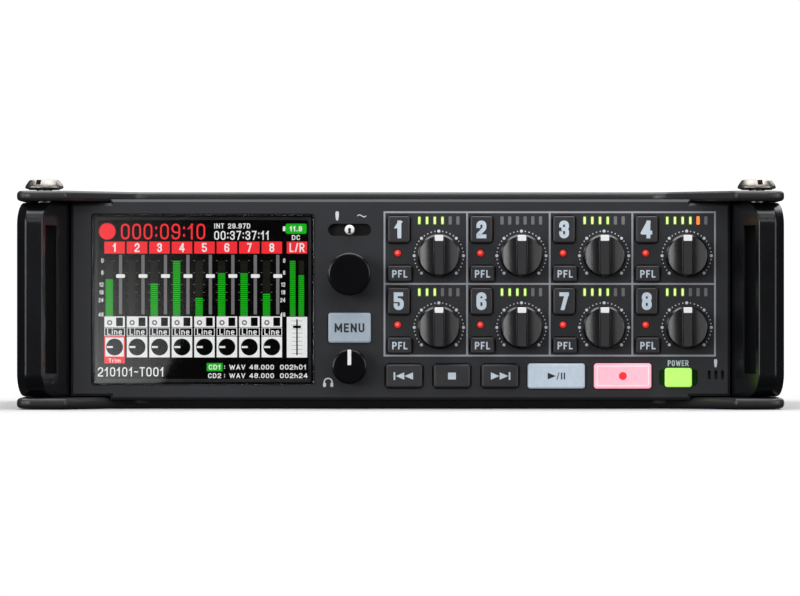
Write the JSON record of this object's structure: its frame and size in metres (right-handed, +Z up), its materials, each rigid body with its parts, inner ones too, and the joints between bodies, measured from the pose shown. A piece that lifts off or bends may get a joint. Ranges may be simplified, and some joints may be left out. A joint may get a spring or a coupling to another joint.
{
  "type": "portable field recorder",
  "caption": "Portable multitrack field recorder: a wide low box between two cover plates, with a colour screen, gain knobs, keys, side handles and side input jacks.",
  "frame": {"origin": "centre of the bounding box's underside, on the surface the recorder rests on", "axes": "+Z up, -Y out of the front panel, +X to the right of someone facing the panel"},
  "size_m": [0.1782, 0.14, 0.0531],
  "materials": {
    "cover": "fine black powder coat",
    "chassis": "black coated sheet metal",
    "panel": "satin charcoal moulding",
    "handle": "fine textured black",
    "screw": "bright nickel plate",
    "glass": "clear cover glass",
    "screen": "lit colour screen",
    "board": "green circuit board",
    "connector": "black connector plastic",
    "rubber": "soft black door",
    "sled": "black moulding",
    "shaft": "turned steel",
    "knob": "satin black",
    "key": "dark grey key top",
    "stub": "white stub",
    "lit_green": "back-lit green",
    "lit_blue": "back-lit pale blue grey",
    "lit_red": "back-lit pink"
  },
  "bodies": {
    "recorder_body": {"chassis": "chassis", "top_cover": "cover", "bottom_cover": "cover", "front_panel": "panel", "handle_left": "handle", "handle_right": "handle", "handle_screw_left": "screw", "handle_screw_right": "screw", "display_window": "glass", "display_module": "screen", "front_board": "board", "main_board": "board", "input_jack_1": "connector", "input_jack_2": "connector", "input_jack_3": "connector", "input_jack_4": "connector", "input_jack_5": "connector", "input_jack_6": "connector", "input_jack_7": "connector", "input_jack_8": "connector", "headphone_jack": "connector", "rear_connectors": "connector"},
    "channel_key_1": {"channel_key_1": "key"},
    "pfl_key_1": {"pfl_key_1": "key"},
    "channel_key_2": {"channel_key_2": "key"},
    "pfl_key_2": {"pfl_key_2": "key"},
    "channel_key_3": {"channel_key_3": "key"},
    "pfl_key_3": {"pfl_key_3": "key"},
    "channel_key_4": {"channel_key_4": "key"},
    "pfl_key_4": {"pfl_key_4": "key"},
    "channel_key_5": {"channel_key_5": "key"},
    "pfl_key_5": {"pfl_key_5": "key"},
    "channel_key_6": {"channel_key_6": "key"},
    "pfl_key_6": {"pfl_key_6": "key"},
    "channel_key_7": {"channel_key_7": "key"},
    "pfl_key_7": {"pfl_key_7": "key"},
    "channel_key_8": {"channel_key_8": "key"},
    "pfl_key_8": {"pfl_key_8": "key"},
    "gain_knob_1": {"gain_knob_1": "knob"},
    "gain_knob_2": {"gain_knob_2": "knob"},
    "gain_knob_3": {"gain_knob_3": "knob"},
    "gain_knob_4": {"gain_knob_4": "knob"},
    "gain_knob_5": {"gain_knob_5": "knob"},
    "gain_knob_6": {"gain_knob_6": "knob"},
    "gain_knob_7": {"gain_knob_7": "knob"},
    "gain_knob_8": {"gain_knob_8": "knob"},
    "rewind_key": {"rewind_key": "key"},
    "stop_key": {"stop_key": "key"},
    "forward_key": {"forward_key": "key"},
    "play_key": {"play_key": "lit_blue"},
    "record_key": {"record_key": "lit_red"},
    "menu_key": {"menu_key": "lit_blue"},
    "encoder_shaft": {"encoder_shaft": "shaft"},
    "select_knob": {"select_knob": "knob"},
    "headphone_knob": {"headphone_knob": "knob"},
    "tone_slider": {"tone_slider": "stub"},
    "power_slider": {"power_slider": "lit_green"},
    "battery_sled": {"battery_sled": "sled", "battery_cap": "connector"},
    "card_door": {"card_door": "rubber"}
  },
  "joints": [
    {"name": "battery_slide", "type": "slide", "parent": "recorder_body", "child": "battery_sled", "axis": [0, 1, 0], "range_m": [0, 0.055]},
    {"name": "card_door_hinge", "type": "hinge", "parent": "recorder_body", "child": "card_door", "pos_m": [-0.0882, -0.04075, 0.00825], "axis": [0, -1, 0], "range_deg": [0, 90]},
    {"name": "select_push", "type": "slide", "parent": "recorder_body", "child": "encoder_shaft", "axis": [0, 1, 0], "range_m": [0, 0.0005], "stiffness_N_per_m": 1500},
    {"name": "select_turn", "type": "hinge", "parent": "encoder_shaft", "child": "select_knob", "pos_m": [-0.0119, -0.058, 0.0311], "axis": [0, 1, 0], "continuous": true},
    {"name": "headphone_turn", "type": "hinge", "parent": "recorder_body", "child": "headphone_knob", "pos_m": [-0.0119, -0.058, 0.00965], "axis": [0, 1, 0], "range_deg": [-135, 135]},
    {"name": "power_slide", "type": "slide", "parent": "recorder_body", "child": "power_slider", "axis": [1, 0, 0], "range_m": [0, 0.0011], "stiffness_N_per_m": 300},
    {"name": "tone_slide", "type": "slide", "parent": "recorder_body", "child": "tone_slider", "axis": [1, 0, 0], "range_m": [-0.0025, 0.0025], "stiffness_N_per_m": 300},
    {"name": "record_key_press", "type": "slide", "parent": "recorder_body", "child": "record_key", "axis": [0, 1, 0], "range_m": [0, 0.0006], "stiffness_N_per_m": 1500},
    {"name": "play_key_press", "type": "slide", "parent": "recorder_body", "child": "play_key", "axis": [0, 1, 0], "range_m": [0, 0.0006], "stiffness_N_per_m": 1500},
    {"name": "menu_key_press", "type": "slide", "parent": "recorder_body", "child": "menu_key", "axis": [0, 1, 0], "range_m": [0, 0.0006], "stiffness_N_per_m": 1500},
    {"name": "channel_key_1_press", "type": "slide", "parent": "recorder_body", "child": "channel_key_1", "axis": [0, 1, 0], "range_m": [0, 0.0006], "stiffness_N_per_m": 1500},
    {"name": "pfl_key_1_press", "type": "slide", "parent": "recorder_body", "child": "pfl_key_1", "axis": [0, 1, 0], "range_m": [0, 0.0006], "stiffness_N_per_m": 1500},
    {"name": "channel_key_2_press", "type": "slide", "parent": "recorder_body", "child": "channel_key_2", "axis": [0, 1, 0], "range_m": [0, 0.0006], "stiffness_N_per_m": 1500},
    {"name": "pfl_key_2_press", "type": "slide", "parent": "recorder_body", "child": "pfl_key_2", "axis": [0, 1, 0], "range_m": [0, 0.0006], "stiffness_N_per_m": 1500},
    {"name": "channel_key_3_press", "type": "slide", "parent": "recorder_body", "child": "channel_key_3", "axis": [0, 1, 0], "range_m": [0, 0.0006], "stiffness_N_per_m": 1500},
    {"name": "pfl_key_3_press", "type": "slide", "parent": "recorder_body", "child": "pfl_key_3", "axis": [0, 1, 0], "range_m": [0, 0.0006], "stiffness_N_per_m": 1500},
    {"name": "channel_key_4_press", "type": "slide", "parent": "recorder_body", "child": "channel_key_4", "axis": [0, 1, 0], "range_m": [0, 0.0006], "stiffness_N_per_m": 1500},
    {"name": "pfl_key_4_press", "type": "slide", "parent": "recorder_body", "child": "pfl_key_4", "axis": [0, 1, 0], "range_m": [0, 0.0006], "stiffness_N_per_m": 1500},
    {"name": "channel_key_5_press", "type": "slide", "parent": "recorder_body", "child": "channel_key_5", "axis": [0, 1, 0], "range_m": [0, 0.0006], "stiffness_N_per_m": 1500},
    {"name": "pfl_key_5_press", "type": "slide", "parent": "recorder_body", "child": "pfl_key_5", "axis": [0, 1, 0], "range_m": [0, 0.0006], "stiffness_N_per_m": 1500},
    {"name": "channel_key_6_press", "type": "slide", "parent": "recorder_body", "child": "channel_key_6", "axis": [0, 1, 0], "range_m": [0, 0.0006], "stiffness_N_per_m": 1500},
    {"name": "pfl_key_6_press", "type": "slide", "parent": "recorder_body", "child": "pfl_key_6", "axis": [0, 1, 0], "range_m": [0, 0.0006], "stiffness_N_per_m": 1500},
    {"name": "channel_key_7_press", "type": "slide", "parent": "recorder_body", "child": "channel_key_7", "axis": [0, 1, 0], "range_m": [0, 0.0006], "stiffness_N_per_m": 1500},
    {"name": "pfl_key_7_press", "type": "slide", "parent": "recorder_body", "child": "pfl_key_7", "axis": [0, 1, 0], "range_m": [0, 0.0006], "stiffness_N_per_m": 1500},
    {"name": "channel_key_8_press", "type": "slide", "parent": "recorder_body", "child": "channel_key_8", "axis": [0, 1, 0], "range_m": [0, 0.0006], "stiffness_N_per_m": 1500},
    {"name": "pfl_key_8_press", "type": "slide", "parent": "recorder_body", "child": "pfl_key_8", "axis": [0, 1, 0], "range_m": [0, 0.0006], "stiffness_N_per_m": 1500},
    {"name": "gain_knob_1_turn", "type": "hinge", "parent": "recorder_body", "child": "gain_knob_1", "pos_m": [0.00895, -0.058, 0.03549], "axis": [0, 1, 0], "range_deg": [-135, 135]},
    {"name": "gain_knob_2_turn", "type": "hinge", "parent": "recorder_body", "child": "gain_knob_2", "pos_m": [0.02825, -0.058, 0.03549], "axis": [0, 1, 0], "range_deg": [-135, 135]},
    {"name": "gain_knob_3_turn", "type": "hinge", "parent": "recorder_body", "child": "gain_knob_3", "pos_m": [0.04755, -0.058, 0.03549], "axis": [0, 1, 0], "range_deg": [-135, 135]},
    {"name": "gain_knob_4_turn", "type": "hinge", "parent": "recorder_body", "child": "gain_knob_4", "pos_m": [0.06685, -0.058, 0.03549], "axis": [0, 1, 0], "range_deg": [-135, 135]},
    {"name": "gain_knob_5_turn", "type": "hinge", "parent": "recorder_body", "child": "gain_knob_5", "pos_m": [0.00895, -0.058, 0.01874], "axis": [0, 1, 0], "range_deg": [-135, 135]},
    {"name": "gain_knob_6_turn", "type": "hinge", "parent": "recorder_body", "child": "gain_knob_6", "pos_m": [0.02825, -0.058, 0.01874], "axis": [0, 1, 0], "range_deg": [-135, 135]},
    {"name": "gain_knob_7_turn", "type": "hinge", "parent": "recorder_body", "child": "gain_knob_7", "pos_m": [0.04755, -0.058, 0.01874], "axis": [0, 1, 0], "range_deg": [-135, 135]},
    {"name": "gain_knob_8_turn", "type": "hinge", "parent": "recorder_body", "child": "gain_knob_8", "pos_m": [0.06685, -0.058, 0.01874], "axis": [0, 1, 0], "range_deg": [-135, 135]},
    {"name": "rewind_key_press", "type": "slide", "parent": "recorder_body", "child": "rewind_key", "axis": [0, 1, 0], "range_m": [0, 0.0006], "stiffness_N_per_m": 1500},
    {"name": "stop_key_press", "type": "slide", "parent": "recorder_body", "child": "stop_key", "axis": [0, 1, 0], "range_m": [0, 0.0006], "stiffness_N_per_m": 1500},
    {"name": "forward_key_press", "type": "slide", "parent": "recorder_body", "child": "forward_key", "axis": [0, 1, 0], "range_m": [0, 0.0006], "stiffness_N_per_m": 1500}
  ]
}
